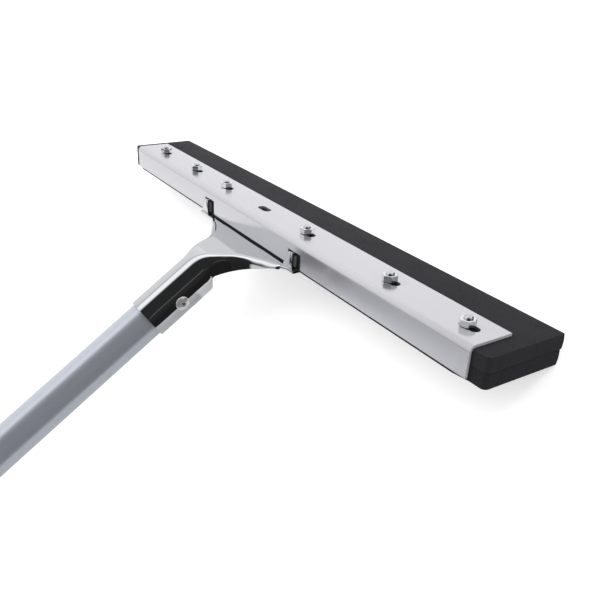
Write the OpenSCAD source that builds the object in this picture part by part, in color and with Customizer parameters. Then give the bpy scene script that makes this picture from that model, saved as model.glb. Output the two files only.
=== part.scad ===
// Floor squeegee: a double foam blade clamped in a zinc-plated steel head, with a chromed
// socket yoke and a long tube handle.
// The head is drawn level, with the cover's top face at z = 0, the row of bolts on y = 0 and
// the blade's lips towards +y. lay_down() then tips the whole tool the way it lies on a floor,
// on the lip of the blade and the end of the handle.

/* [Cover] */
// Length of the cover along the blade
cover_len = 415; // [410:1:600]
// Depth of the cover's flat top, from its front edge to the outside of its rear wall
cover_depth = 28; // [26:0.5:34]
// Distance from the row of bolts to the cover's front edge
cover_front = 13.6; // [12:0.1:17]
// Height of the rear wall, from the top face to the wall's lower edge
cover_wall_h = 17.5; // [15:0.5:20]
// Thickness of the cover's sheet
cover_t = 1.5; // [1.2:0.1:2]
// Inside radius of the bend between the top and the rear wall
cover_bend_r = 2; // [1:0.1:3]

/* [Cover slots] */
// Width of a bolt slot
slot_w = 6; // [5.8:0.1:7]
// Length of a bolt slot, from end to end
slot_len = 12.5; // [12.2:0.1:16]
// How far the middle of a slot lies beyond its bolt while the cover is locked
slot_offset = 1.5; // [1.3:0.1:1.6]
// Distance of each locking slot in the rear wall from the middle of the cover
lock_x = 59.7; // [56:0.1:66]
// Width of the upright leg of a locking slot
lock_w = 6.5; // [6:0.1:8]
// Distance from the top face down to the upper end of a locking slot
lock_top = 7.5; // [6.5:0.1:8]
// Height of the side leg of a locking slot
lock_leg_h = 2.5; // [2.4:0.1:3]
// Length of the side leg of a locking slot
lock_leg_len = 8; // [7:0.1:9]

/* [Bolts] */
// Nominal diameter of the bolts
bolt_d = 5; // [4.5:0.1:5.2]
// Size of the hexagon of bolts and nuts, across its flats
hex_af = 8; // [7:0.1:9]
// Height of a nut
nut_h = 3.8; // [3:0.1:5]
// Height of a bolt's head
head_h = 3.5; // [2.5:0.1:4.5]
// Height of bolt that stands out of its nut
bolt_out = 1.2; // [0.6:0.1:4]
// Distance of the empty middle bolt place from the middle of the cover, towards its left end
middle_shift = 8; // [6:0.5:10]
// Distance of the third and the fourth bolt from the empty middle place
inner_pitch = 55.5; // [54:0.5:57]
// Distance of the first bolt from the cover's left end
left_margin = 29.5; // [27:0.5:36]
// Distance between the first and the second bolt
left_pitch = 62; // [50:0.5:64]
// Distance of the sixth bolt from the cover's right end
right_margin = 16.5; // [14:0.5:24]
// Distance between the fifth and the sixth bolt
right_pitch = 60; // [45:0.5:66]

/* [Blade] */
// How far the blade's lips stand out in front of the cover
blade_out = 25.5; // [15:0.5:40]
// How far the blade stands out past each end of the cover
blade_side = 11; // [4:0.5:20]
// Thickness of one of the two foam layers
layer_t = 8.6; // [7:0.1:10]
// How far the upper lip leans out past the lower one
lip_lean = 1; // [0:0.1:2]
// Radius of the blade's upright corners
blade_corner_r = 3; // [0.5:0.1:6]

/* [Base] */
// Thickness of the base strip, which the clamped blade takes up whole
base_t = 1.5; // [1.2:0.1:2.5]
// How far the base strip's rear edge stays inside the cover's rear wall
base_inset = 3.5; // [2:0.1:5]

/* [Yoke] */
// Thickness of the yoke's sheet
yoke_t = 1.5; // [1.2:0.1:1.8]
// Clearance between the handle and the bore of the socket
socket_play = 0.2; // [0.1:0.05:0.4]
// Length of the closed round part of the socket
socket_len = 44; // [36:0.5:60]
// Distance from the rear wall to the closed part of the socket, along the handle's axis
socket_reach = 50; // [48:0.5:60]
// Length of the bend from the socket to the flat wing, along either side of it
bend_run = 5.6; // [4:0.1:7]
// Radius of the curve in which the wing flares out to the cover
flare_r = 32; // [28:0.5:36]
// Angle through which the wing's sides turn before they run on straight
flare_turn = 60; // [50:1:66]
// Distance from the handle's axis to where the wing's sides meet its crossbar
flare_out = 52; // [46:0.5:56]
// Depth of the side flanges where they leave the socket
flange_deep = 19; // [17:0.5:22]
// Depth of the side flanges at their front end
flange_shallow = 2.5; // [2.4:0.1:4]
// Bend radius at the foot of the side flanges, outside
flange_r = 4; // [3:0.1:5]
// How far the side flanges stop short of the crossbar
flange_stop = 5; // [3:0.5:8]
// How far the crossbar stands out behind the locking ears
crossbar_out = 1.2; // [0.6:0.1:3]
// How far the crossbar reaches in under the base, past the row of bolts
crossbar_in = 8; // [6:0.5:10]
// Width of the foot of a locking ear
ear_w = 10; // [8:0.5:12]
// Width of the hook at the tip of a locking ear
hook_w = 4.5; // [3.5:0.1:4.6]
// Diameter of the rivet's body
rivet_d = 4.8; // [4:0.1:5]
// Diameter of the rivet's domed head
rivet_head_d = 9.5; // [8.5:0.1:11]
// Distance from the end of the socket to the rivet
rivet_in = 23.5; // [12:0.5:30]

/* [Handle] */
// Outside diameter of the handle
handle_d = 25.4; // [22:0.2:28]
// Wall of the handle's tube
handle_t = 1; // [0.8:0.1:1.5]
// Length of the handle's tube
handle_len = 1300; // [900:10:1500]
// Length of the handle inside the socket
handle_in = 40; // [32:0.5:43]
// Angle at which the handle falls away behind the head
handle_angle = 34.4; // [31:0.2:38]
// Depth of the handle's axis below the cover's top face, at the rear wall
handle_drop = 8.2; // [6:0.1:9]
// Length of the cap's sleeve over the handle
cap_len = 45; // [30:1:70]
// Wall of the cap's sleeve
cap_t = 1.6; // [1.2:0.1:2.5]
// Diameter of the hanging hole
hang_d = 10; // [8:0.5:12]
// Thickness of the hanging eye
eye_t = 9; // [6:0.5:12]
// Width of the ring of plastic round the hanging hole
eye_rim = 6; // [5:0.5:7]

/* [Fits] */
// Gap between the sliding cover and what lies against its flat faces
slide_gap = 0.2; // [0.1:0.05:0.3]
// Gap between the locking ears and the rear wall
ear_gap = 0.4; // [0.3:0.05:0.6]
// Clearance round a bolt where it passes through the foam, the base and the yoke
bolt_play = 0.2; // [0.15:0.05:0.3]
// Clearance of a bolt in its nut and of a rivet in its hole
close_play = 0.05; // [0.03:0.01:0.1]

/* [Hidden] */
$fn = 64;
slack = 0.5;
wall_y = cover_front - cover_depth;
wall_in_y = wall_y + cover_t;
foam_rear = wall_in_y + ear_gap;
foam_front = cover_front + blade_out;
foam_top = -cover_t - slide_gap;
foam_seam = foam_top - layer_t;
foam_bottom = foam_seam - layer_t;
base_rear = wall_in_y + base_inset;
blade_half = cover_len / 2 + blade_side;

// Bolts, from the left end to the right end, and the empty place between the two halves
first_x = left_margin - cover_len / 2;
last_x = cover_len / 2 - right_margin;
bolt_x = [first_x, first_x + left_pitch, -middle_shift - inner_pitch,
          inner_pitch - middle_shift, last_x - right_pitch, last_x];
// Turn of each nut as it was left by the spanner, and whether its bolt also holds the yoke
nut_turn = [12, 47, 25, 4, 33, 20];
holds_yoke = [false, false, true, true, false, false];
hex_r = hex_af / 2 / cos(30);
nut_z = slide_gap;
bolt_tip = nut_z + nut_h + bolt_out;

// Yoke: the flat wing lies against the base, and the socket's top line runs out into it
wing_top = foam_bottom;
ear_y = wall_y - ear_gap - yoke_t;
bore_r = handle_d / 2 + socket_play;
tube_r = bore_r + yoke_t;
// Distances along the handle's axis are counted backwards from the rear wall's outer face
top_meets = (tube_r * cos(handle_angle) - handle_drop - wing_top) / sin(handle_angle);
socket_end = socket_reach + socket_len;
bend_start = top_meets + bend_run;
corner_y = wall_y - top_meets * cos(handle_angle) - tube_r * sin(handle_angle);
bend_r = bend_run / tan(handle_angle / 2);
bend_end_y = corner_y + bend_run;
crossbar_rear = ear_y - crossbar_out;
side_run = (flare_out - tube_r - flare_r * (1 - cos(flare_turn))) / sin(flare_turn);
flare_y = crossbar_rear - side_run * cos(flare_turn) - flare_r * sin(flare_turn);

lock_left = [for (side = [-1, 1]) side * lock_x - lock_w / 2];
// The ears' upright edges, beside the locking slots' legs
ear_side = [for (left = lock_left) left - ear_gap + 0.1];
crossbar_left = ear_side[0] - ear_w;
crossbar_right = lock_x;
hook_z = -lock_top - lock_leg_h / 2;

// Handle and cap
handle_start = socket_end - handle_in;
handle_end = handle_start + handle_len;
rivet_s = socket_end - rivet_in;
cap_r = handle_d / 2 + close_play + cap_t;
cap_start = handle_end - cap_len;
cap_floor = 4;
cap_edge = 2;
cap_end = handle_end + cap_floor;
eye_r = hang_d / 2 + eye_rim;
eye_s = cap_end + eye_r - 1;

// Lay of the tool on a floor: it touches at the lower front edge of the blade and at the
// lower edge of the cap
lip_behind = (foam_front - wall_y) * cos(handle_angle) + (foam_bottom + handle_drop) * sin(handle_angle);
lip_below = (foam_front - wall_y) * sin(handle_angle) - (foam_bottom + handle_drop) * cos(handle_angle);
cap_touch = cap_end - cap_edge;
handle_rise = atan((lip_below - cap_r) / (cap_touch + lip_behind));
tip = handle_angle - handle_rise;
function lain_y(y, z) = y * cos(tip) + z * sin(tip);
function lain_z(y, z) = z * cos(tip) - y * sin(tip);
eye_y = wall_y - eye_s * cos(handle_angle);
eye_z = -handle_drop - eye_s * sin(handle_angle);
front_lain = lain_y(foam_front, foam_top);
back_lain = lain_y(eye_y, eye_z) - eye_r;

zinc = [0.84, 0.84, 0.86];
steel = [0.66, 0.67, 0.69];
chrome = [0.78, 0.79, 0.81];
foam_black = [0.21, 0.21, 0.23];
paint = [0.56, 0.59, 0.67];
cap_black = [0.1, 0.1, 0.11];

// Tips a piece of the level head to the way the tool lies
module lay_down()
{
    translate([0, -(front_lain + back_lain) / 2, -lain_z(foam_front, foam_bottom)])
        rotate([-tip, 0, 0])
            children();
}

// Puts a piece drawn along +z, with x kept, on the handle's axis at a distance along it
module on_handle(s)
{
    translate([0, wall_y, -handle_drop])
        rotate([90 + handle_angle, 0, 0])
            translate([0, 0, s])
                children();
}

// A slot with round ends along x
module slot(length, width, height)
{
    reach = (length - width) / 2;
    for (side = [-1, 1])
        translate([side * reach, 0, 0])
            cylinder(h = height, d = width);
    translate([-reach, -width / 2, 0])
        cube([2 * reach, width, height]);
}

// A flat outline with four round corners
module round_outline(x0, x1, y0, y1, r)
{
    for (x = [x0 + r, x1 - r], y = [y0 + r, y1 - r])
        translate([x, y])
            circle(r = r);
    translate([x0 + r, y0])
        square([x1 - x0 - 2 * r, y1 - y0]);
    translate([x0, y0 + r])
        square([x1 - x0, y1 - y0 - 2 * r]);
}

// Section of the cover across its length: first axis y, second axis z
module cover_section()
{
    outer_r = cover_bend_r + cover_t;
    translate([wall_y + outer_r, -cover_t])
        square([cover_depth - outer_r, cover_t]);
    translate([wall_y, -cover_wall_h])
        square([cover_t, cover_wall_h - outer_r]);
    translate([wall_y + outer_r, -outer_r])
        intersection()
        {
            difference()
            {
                circle(r = outer_r);
                circle(r = cover_bend_r);
            }
            translate([-outer_r, 0])
                square(outer_r);
        }
}

// An L-shaped locking slot, open at the wall's lower edge, with its leg towards -x
module lock_cut(left)
{
    depth = cover_t + 2 * slack;
    translate([left, wall_y - slack, -cover_wall_h - slack])
        cube([lock_w, depth, cover_wall_h + slack - lock_top]);
    translate([left - lock_leg_len, wall_y - slack, -lock_top - lock_leg_h])
        cube([lock_leg_len + slack, depth, lock_leg_h]);
}

module cover_plate()
{
    color(zinc)
        lay_down()
            difference()
            {
                translate([-cover_len / 2, 0, 0])
                    rotate([90, 0, 90])
                        linear_extrude(cover_len)
                            cover_section();
                for (x = concat(bolt_x, [-middle_shift]))
                    translate([x + slot_offset, 0, -cover_t - slack])
                        slot(slot_len, slot_w, cover_t + 2 * slack);
                for (left = lock_left)
                    lock_cut(left);
            }
}

// One layer of the blade: z0 and z1 are its faces, lean is how far its lip runs out at z0, and
// rear_cut is what its upper rear edge gives way to the bend of the cover
module foam_layer(z0, z1, lean, rear_cut)
{
    outside = foam_rear - slack;
    rear = rear_cut > 0
        ? [[foam_rear + rear_cut, z1], [outside, z1 - rear_cut - slack]]
        : [[outside, z1]];
    difference()
    {
        intersection()
        {
            translate([0, 0, z0])
                linear_extrude(z1 - z0)
                    round_outline(-blade_half, blade_half, foam_rear, foam_front + lean, blade_corner_r);
            translate([-blade_half - slack, 0, 0])
                rotate([90, 0, 90])
                    linear_extrude(2 * (blade_half + slack))
                        polygon(concat([[outside, z0], [foam_front + lean, z0], [foam_front, z1]], rear));
        }
        for (x = bolt_x)
            translate([x, 0, z0 - slack])
                cylinder(h = z1 - z0 + 2 * slack, d = bolt_d + 2 * bolt_play);
    }
}

module foam_upper()
{
    color(foam_black)
        lay_down()
            foam_layer(foam_seam, foam_top, lip_lean, cover_bend_r * 3 / 4);
}

// The lower layer gives way to the base strip, which is pressed flush into it
module foam_lower()
{
    color(foam_black)
        lay_down()
            difference()
            {
                foam_layer(foam_bottom, foam_seam, 0, 0);
                translate([-cover_len / 2, base_rear, foam_bottom - slack])
                    cube([cover_len, cover_front - base_rear, base_t + slack]);
            }
}

module base_strip()
{
    color(steel)
        lay_down()
            difference()
            {
                translate([-cover_len / 2, base_rear, foam_bottom])
                    cube([cover_len, cover_front - base_rear, base_t]);
                for (x = bolt_x)
                    translate([x, 0, foam_bottom - slack])
                        cylinder(h = base_t + 2 * slack, d = bolt_d + 2 * bolt_play);
            }
}

// A bolt with its head under the base, or under the yoke where it also holds that
module bolt(i)
{
    seat = holds_yoke[i] ? wing_top - yoke_t : foam_bottom;
    tip_h = bolt_d / 8;
    color(steel)
        lay_down()
            translate([bolt_x[i], 0, seat])
            {
                translate([0, 0, -head_h])
                    cylinder(h = head_h, r = hex_r, $fn = 6);
                cylinder(h = bolt_tip - seat - tip_h, d = bolt_d);
                translate([0, 0, bolt_tip - seat - tip_h])
                    cylinder(h = tip_h, d1 = bolt_d, d2 = bolt_d - 2 * tip_h);
            }
}

// A hexagon nut, chamfered at both faces
module nut(i)
{
    face_r = hex_af * 0.475;
    past_r = hex_r + slack;
    cut = (past_r - face_r) * tan(30);
    color(steel)
        lay_down()
            translate([bolt_x[i], 0, nut_z])
                difference()
                {
                    intersection()
                    {
                        rotate([0, 0, nut_turn[i]])
                            cylinder(h = nut_h, r = hex_r, $fn = 6);
                        rotate_extrude()
                            polygon([[0, 0], [face_r, 0], [past_r, cut], [past_r, nut_h - cut],
                                     [face_r, nut_h], [0, nut_h]]);
                    }
                    translate([0, 0, -slack])
                        cylinder(h = nut_h + 2 * slack, d = bolt_d + 2 * close_play);
                }
}

// Place along the flare, from 0 where the wing leaves the socket to 90 at the crossbar, for a y
function turn_at(y) = y < flare_y ? 0 : asin((y - flare_y) / flare_r);
function ease(u) = u < 0 ? 0 : u > 1 ? 1 : u * u * (3 - 2 * u);

bend_length = bend_r * handle_angle * PI / 180;
bend_turn = turn_at(bend_end_y);
straight_run = socket_reach - bend_start;
turn_run = straight_run + bend_length + flare_r * (flare_turn - bend_turn) * PI / 180;
run_length = turn_run + side_run - flange_stop;
round_run = straight_run + bend_length + flare_r * 12 * PI / 180;

// Stations of the yoke's skin: place of the top line (y, z), its tilt, the turn of the flare,
// how far the skin has run from the socket, and how far of that it ran on straight
part_steps = 4;
bend_steps = 6;
flare_steps = 10;
side_steps = 3;
stations = concat(
    [for (run = concat(-1, [for (i = [0:part_steps - 1]) 0.5 + (straight_run - 0.5) * i / part_steps]))
        let (s = socket_reach - run - top_meets)
        [corner_y - s * cos(handle_angle), wing_top - s * sin(handle_angle), handle_angle, 0, run, 0]],
    [for (i = [0:bend_steps])
        let (a = handle_angle * (1 - i / bend_steps), y = bend_end_y - bend_r * sin(a))
        [y, wing_top - bend_r * (1 - cos(a)), a, turn_at(y),
         straight_run + bend_length * i / bend_steps, 0]],
    [for (i = [1:flare_steps])
        let (turn = bend_turn + (flare_turn - bend_turn) * i / flare_steps)
        [flare_y + flare_r * sin(turn), wing_top, 0, turn,
         straight_run + bend_length + flare_r * (turn - bend_turn) * PI / 180, 0]],
    [for (i = [1:side_steps])
        let (out = (side_run - flange_stop) * i / side_steps)
        [flare_y + flare_r * sin(flare_turn) + out * cos(flare_turn), wing_top, 0, flare_turn,
         turn_run + out, out]]);

corner_steps = 8;
wrap_steps = 4;
// Sheet's outline across one side of a station: distance in from the flange's face, and depth.
// Below the corner it follows the tube's underside where wrap is 1, and runs straight where it is 0
function side_profile(r, deep, inset, wrap) =
    concat([for (i = [wrap_steps:-1:1])
               let (part = i / wrap_steps, b = asin(min(1, (deep - r) / r)) * part)
               [(r - (r - inset) * cos(b)) * wrap + inset * (1 - wrap),
                (r + (r - inset) * sin(b)) * wrap + (r + (deep - r) * part) * (1 - wrap)]],
           [for (i = [0:corner_steps])
               let (a = 90 * i / corner_steps)
               [r - (r - inset) * cos(a), r - (r - inset) * sin(a)]]);
function place(s, side, e, d) =
    let (half = tube_r + flare_r * (1 - cos(s[3])) + s[5] * sin(s[3]), ahead = e * sin(s[3]))
    [side * (half - e * cos(s[3])), s[0] + ahead * cos(s[2]) + d * sin(s[2]),
     s[1] + ahead * sin(s[2]) - d * cos(s[2])];
function reversed(points) = [for (i = [len(points) - 1:-1:0]) points[i]];
// Ring of points round the sheet at a station: over its outside, and back along its inside
function ring(s) =
    let (run = max(s[4], 0),
         slope = flange_shallow + (flange_deep - flange_shallow) * pow(1 - run / run_length, 1.2),
         deep = slope + (1.92 * tube_r - slope) * (1 - ease(run / straight_run)),
         wrap = 1 - ease((run / straight_run - 0.5) / 2),
         r = min(tube_r + (flange_r - tube_r) * ease(run / round_run), deep - 0.3),
         buried = s[4] < 0 ? yoke_t / 5 : 0,
         outer = side_profile(r, deep, buried, wrap),
         inner = side_profile(r, deep, yoke_t - buried, wrap))
    concat([for (p = outer) place(s, 1, p[0], p[1])],
           [for (p = reversed(outer)) place(s, -1, p[0], p[1])],
           [for (p = inner) place(s, -1, p[0], p[1])],
           [for (p = reversed(inner)) place(s, 1, p[0], p[1])]);

// The skin between the socket and the crossbar: an upturned channel that opens out of a half tube
module yoke_skin()
{
    rings = [for (s = stations) ring(s)];
    n = len(rings[0]);
    last = len(rings) - 1;
    half = n / 2;
    points = [for (ring = rings) for (p = ring) p];
    walls = [for (k = [0:last - 1]) for (i = [0:n - 1])
        let (a = k * n + i, b = k * n + (i + 1) % n, c = a + n, d = b + n)
        each [[a, b, c], [b, d, c]]];
    ends = [for (k = [0, last]) for (i = [0:half - 2])
        let (a = k * n + i, b = a + 1, d = k * n + n - 1 - i, c = d - 1)
        each (k == 0 ? [[a, c, b], [a, d, c]] : [[a, b, c], [a, c, d]])];
    polyhedron(points = points, faces = concat(walls, ends), convexity = 6);
}

// Flat front of the yoke: the flared end of the wing and the crossbar under the base
module yoke_flat()
{
    overlap = 1;
    front = stations[len(stations) - 1];
    side = front[5];
    half = tube_r + flare_r * (1 - cos(flare_turn)) + side * sin(flare_turn);
    step = overlap * cos(flare_turn);
    right = [[half - flange_shallow, front[0] - step], [half, front[0]], [flare_out, crossbar_rear],
             [flare_out, crossbar_rear + overlap]];
    translate([0, 0, wing_top - yoke_t])
        linear_extrude(yoke_t)
        {
            polygon(concat(right, [for (i = [len(right) - 1:-1:0]) [-right[i][0], right[i][1]]]));
            round_outline(crossbar_left, crossbar_right, crossbar_rear, crossbar_in, crossbar_out * 0.8);
        }
}

// A locking ear: it stands up outside the cover's rear wall and hooks in through the side leg
module ear(side)
{
    foot = wing_top - yoke_t;
    hook_top = hook_z + yoke_t / 2;
    shoulder = hook_z - 2 * yoke_t;
    translate([0, ear_y + yoke_t, 0])
        rotate([90, 0, 0])
            linear_extrude(yoke_t)
                polygon([[side - ear_w, foot], [side, foot], [side, hook_top], [side - hook_w, hook_top],
                         [side - hook_w, shoulder], [side - ear_w, foot + 2 * yoke_t]]);
    translate([side - hook_w, ear_y, hook_z - yoke_t / 2])
        cube([hook_w, wall_in_y + slide_gap - ear_y, yoke_t]);
}

module yoke()
{
    color(chrome)
        lay_down()
            difference()
            {
                union()
                {
                    yoke_skin();
                    yoke_flat();
                    for (side = ear_side)
                        ear(side);
                    on_handle(socket_reach)
                        difference()
                        {
                            cylinder(h = socket_len, r = tube_r);
                            translate([0, 0, -slack])
                                cylinder(h = socket_len + 2 * slack, r = bore_r);
                        }
                }
                on_handle(rivet_s)
                    rotate([0, 90, 0])
                        cylinder(h = tube_r + slack, d = rivet_d + 2 * close_play);
                for (x = [bolt_x[2], -middle_shift, bolt_x[3]])
                    translate([x, 0, wing_top - yoke_t - slack])
                        cylinder(h = yoke_t + 2 * slack, d = bolt_d + 2 * bolt_play);
            }
}

rivet_bore = rivet_d * 0.56;
rivet_dome = 1.7;
bulb_h = 3.2;

// A blind rivet through the socket and the handle's wall, with its bulb set inside the tube
module handle_rivet()
{
    seat = sqrt(tube_r * tube_r - pow(rivet_d / 2, 2));
    grip_end = handle_d / 2 - handle_t - 0.1;
    color(steel)
        lay_down()
            on_handle(rivet_s)
                rotate([0, 90, 0])
                    rotate_extrude()
                        polygon([[rivet_bore / 2, grip_end - bulb_h], [rivet_d / 2 + 0.9, grip_end - bulb_h + 0.6],
                                 [rivet_d / 2 + 0.9, grip_end - 0.6], [rivet_d / 2, grip_end - 0.2],
                                 [rivet_d / 2, seat], [rivet_d / 2, tube_r + 0.05],
                                 [rivet_head_d / 2, tube_r + 0.05], [rivet_head_d / 2, tube_r + 0.35],
                                 [rivet_head_d * 0.42, tube_r + rivet_dome * 0.62],
                                 [rivet_head_d * 0.3, tube_r + rivet_dome * 0.9],
                                 [rivet_bore / 2 + 0.5, tube_r + rivet_dome], [rivet_bore / 2, tube_r + rivet_dome - 0.3]]);
}

// The stub of the mandrel that stays in the rivet after it is set
module rivet_mandrel()
{
    ball = 1;
    stub_d = rivet_bore - 2 * close_play;
    inner_end = handle_d / 2 - handle_t - bulb_h - 0.1;
    color([0.2, 0.2, 0.21])
        lay_down()
            on_handle(rivet_s)
                rotate([0, 90, 0])
                {
                    translate([0, 0, inner_end - 0.5])
                        cylinder(h = tube_r + 0.3 - inner_end, d = stub_d);
                    translate([0, 0, inner_end - 0.1 - ball])
                        cylinder(h = ball, d = rivet_d - 0.4);
                }
}

module handle_tube()
{
    color(paint)
        lay_down()
            difference()
            {
                on_handle(handle_start)
                    difference()
                    {
                        cylinder(h = handle_len, d = handle_d);
                        translate([0, 0, -slack])
                            cylinder(h = handle_len + 2 * slack, d = handle_d - 2 * handle_t);
                    }
                on_handle(rivet_s)
                    rotate([0, 90, 0])
                        cylinder(h = tube_r + slack, d = rivet_d + 2 * close_play);
            }
}

// A push-on cap with a hanging eye, its hole along x
module handle_cap()
{
    color(cap_black)
        lay_down()
            difference()
            {
                union()
                {
                    on_handle(0)
                        rotate_extrude()
                            polygon([[0, cap_start + 1], [cap_r - 1, cap_start], [cap_r, cap_start + 1],
                                     [cap_r, cap_end - cap_edge], [cap_r - cap_edge / 2, cap_end - cap_edge / 4],
                                     [cap_r - cap_edge, cap_end], [0, cap_end]]);
                    on_handle(0)
                        rotate([0, 90, 0])
                            translate([-eye_s, 0, -eye_t / 2])
                            {
                                cylinder(h = eye_t, r = eye_r);
                                translate([0, -eye_r, 0])
                                    cube([eye_r, 2 * eye_r, eye_t]);
                            }
                }
                on_handle(cap_start - slack)
                    cylinder(h = cap_len + slack + 0.1, d = handle_d + 2 * close_play);
                on_handle(0)
                    rotate([0, 90, 0])
                        translate([-eye_s, 0, -eye_t])
                            cylinder(h = 2 * eye_t, d = hang_d);
            }
}

cover_plate();
foam_upper();
foam_lower();
base_strip();
yoke();
bolt(0);  // bolt_1
bolt(1);  // bolt_2
bolt(2);  // bolt_3
bolt(3);  // bolt_4
bolt(4);  // bolt_5
bolt(5);  // bolt_6
nut(0);  // nut_1
nut(1);  // nut_2
nut(2);  // nut_3
nut(3);  // nut_4
nut(4);  // nut_5
nut(5);  // nut_6
handle_rivet();
rivet_mandrel();
handle_tube();
handle_cap();
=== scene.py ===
# %% [markdown]
# # A floor squeegee, dressed for its picture
# The CAD model holds every piece at its real size. This script lays the visible finish over it:
# zinc on the steel head, chrome on the pressed yoke, paint on the handle and cells in the foam.
# Everything is in metres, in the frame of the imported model.

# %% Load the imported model
import math
import bmesh
import bpy
from mathutils import Matrix, Vector


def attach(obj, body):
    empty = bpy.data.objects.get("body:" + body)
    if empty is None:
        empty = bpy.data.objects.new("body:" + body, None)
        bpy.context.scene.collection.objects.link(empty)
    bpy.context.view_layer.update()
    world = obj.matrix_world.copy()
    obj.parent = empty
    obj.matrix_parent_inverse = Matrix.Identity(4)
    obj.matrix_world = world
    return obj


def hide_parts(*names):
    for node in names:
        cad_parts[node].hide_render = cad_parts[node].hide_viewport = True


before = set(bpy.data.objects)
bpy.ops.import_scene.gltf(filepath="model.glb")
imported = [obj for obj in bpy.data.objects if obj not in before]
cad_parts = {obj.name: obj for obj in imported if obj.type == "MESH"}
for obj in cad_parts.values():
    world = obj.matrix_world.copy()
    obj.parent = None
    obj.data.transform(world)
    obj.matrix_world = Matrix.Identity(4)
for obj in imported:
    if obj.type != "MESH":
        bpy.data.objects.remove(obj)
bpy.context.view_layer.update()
scene = bpy.context.scene
scene.view_settings.view_transform = "Standard"

# %% [markdown]
# The tool lies on the lip of its blade and on the cap of its handle, so the head is tipped by
# about 33 degrees. Drawing a slanted head is awkward. New pieces are drawn on a level head, in
# millimetres, and LAY carries their points to where the CAD has them: cover top at z = 0, bolts
# on y = 0, x along the blade.

# %% From the level head to the floor
TIP = math.radians(33.3848)
HEAD_PLACE = (0, 0.681804, 0.0372965)
LAY = Matrix.Translation(HEAD_PLACE) @ Matrix.Rotation(-TIP, 4, "X") @ Matrix.Scale(0.001, 4)
TO_LEVEL = LAY.inverted()


def level_box(node):
    """The node's lowest and highest corner on the level head, in millimetres."""
    points = [TO_LEVEL @ v.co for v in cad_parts[node].data.vertices]
    low = Vector([min(p[i] for p in points) for i in range(3)])
    high = Vector([max(p[i] for p in points) for i in range(3)])
    return low, high


cover_low, cover_high = level_box("cover_plate")
print("cover, level:", [round(v, 2) for v in cover_low], [round(v, 2) for v in cover_high])

# %% [markdown]
# ## Camera
# The photographer stood to the right of the handle and above the head. The numbers come from
# fitting a lens to the head's straight edges and its row of nuts: the place of the lens on the
# level head, the direction it looks in, and the direction of the picture's right-hand side.

# %% Camera
LENS_MM, SENSOR_MM = 42.688, 36
NEAREST, FARTHEST = 0.02, 60
LENS_PLACE = Vector((402.72, -240.99, 157.04))
LOOK = Vector((-0.7497, 0.5027, -0.4304)).normalized()
PICTURE_RIGHT = Vector((0.5387, 0.8413, 0.0442))
right = (PICTURE_RIGHT - LOOK * PICTURE_RIGHT.dot(LOOK)).normalized()
upward = right.cross(LOOK)
turn = (LAY.to_3x3().normalized() @ Matrix((right, upward, -LOOK)).transposed()).to_4x4()
camera_data = bpy.data.cameras.new("photo_camera")
camera_data.sensor_width = SENSOR_MM
camera_data.lens = LENS_MM
camera_data.clip_start = NEAREST
camera_data.clip_end = FARTHEST
camera = bpy.data.objects.new("photo_camera", camera_data)
camera.matrix_world = Matrix.Translation(LAY @ LENS_PLACE) @ turn
scene.collection.objects.link(camera)
scene.camera = camera
print("camera at", [round(v, 3) for v in camera.location])

# %% [markdown]
# ## Helpers for node trees
# Every finish is made of nodes, and written out one by one they would fill pages. One helper adds
# a node and fills its inputs. The others are the few small steps that come back in every tree:
# an empty tree, a sum of two values, a mix of two tones or colours, and a stretched value.


# %% Node helpers
def add(tree, kind, inputs=None, **settings):
    """Adds a node. inputs maps a socket's name or number to a value, or to the socket to link."""
    new = tree.nodes.new(kind)
    for name, value in settings.items():
        setattr(new, name, value)
    for key, value in (inputs or {}).items():
        if isinstance(value, bpy.types.NodeSocket):
            tree.links.new(value, new.inputs[key])
        else:
            new.inputs[key].default_value = value
    return new


def empty_tree(owner):
    """The node tree of a world or a material, with nothing in it."""
    owner.use_nodes = True
    owner.node_tree.nodes.clear()
    return owner.node_tree


def blank_material(name, **values):
    """A material with a Principled shader whose plain values are set on its own sockets."""
    material = bpy.data.materials.new(name)
    tree = empty_tree(material)
    shader = add(tree, "ShaderNodeBsdfPrincipled", {k.replace("_", " "): v for k, v in values.items()})
    add(tree, "ShaderNodeOutputMaterial", {"Surface": shader.outputs[0]})
    return material, tree, shader


def maths(tree, operation, first, second, **settings):
    """Combines two values or sockets by one operation."""
    return add(tree, "ShaderNodeMath", {0: first, 1: second}, operation=operation, **settings).outputs[0]


def remap(tree, value, low, high, start=0.0, stop=1.0):
    """Stretches a value from start..stop to low..high."""
    inputs = {"Value": value, "From Min": start, "From Max": stop, "To Min": low, "To Max": high}
    return add(tree, "ShaderNodeMapRange", inputs).outputs["Result"]


def grey_ramp(tree, value, stops):
    """Turns a value of 0..1 into a tone that passes through (place, tone) stops."""
    ramp = add(tree, "ShaderNodeValToRGB", {0: value})
    marks = ramp.color_ramp.elements
    while len(marks) < len(stops):
        marks.new(1.0)
    for mark, (place, tone) in zip(marks, stops):
        mark.position = place
        mark.color = (tone, tone, tone, 1)
    return ramp.outputs[0]


def blend_tones(tree, factor, first, second):
    """Goes from the first socket's tone to the second's as the factor socket goes from 0 to 1."""
    return add(tree, "ShaderNodeMix", {0: factor, 2: first, 3: second}).outputs[0]


def blend_colours(tree, factor, first, second):
    """Goes from one colour to another, each given as (red, green, blue) or as a socket."""
    ends = [c if isinstance(c, bpy.types.NodeSocket) else (*c, 1) for c in (first, second)]
    return add(tree, "ShaderNodeMix", {0: factor, 6: ends[0], 7: ends[1]}, data_type="RGBA").outputs[2]


def ray_kinds(tree):
    """The kinds of ray, and a tone that is 1 for the eye's rays, also behind glass."""
    rays = add(tree, "ShaderNodeLightPath").outputs
    return rays, maths(tree, "MAXIMUM", rays["Is Camera Ray"], rays["Is Transmission Ray"])


print("node helpers are ready")

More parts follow.
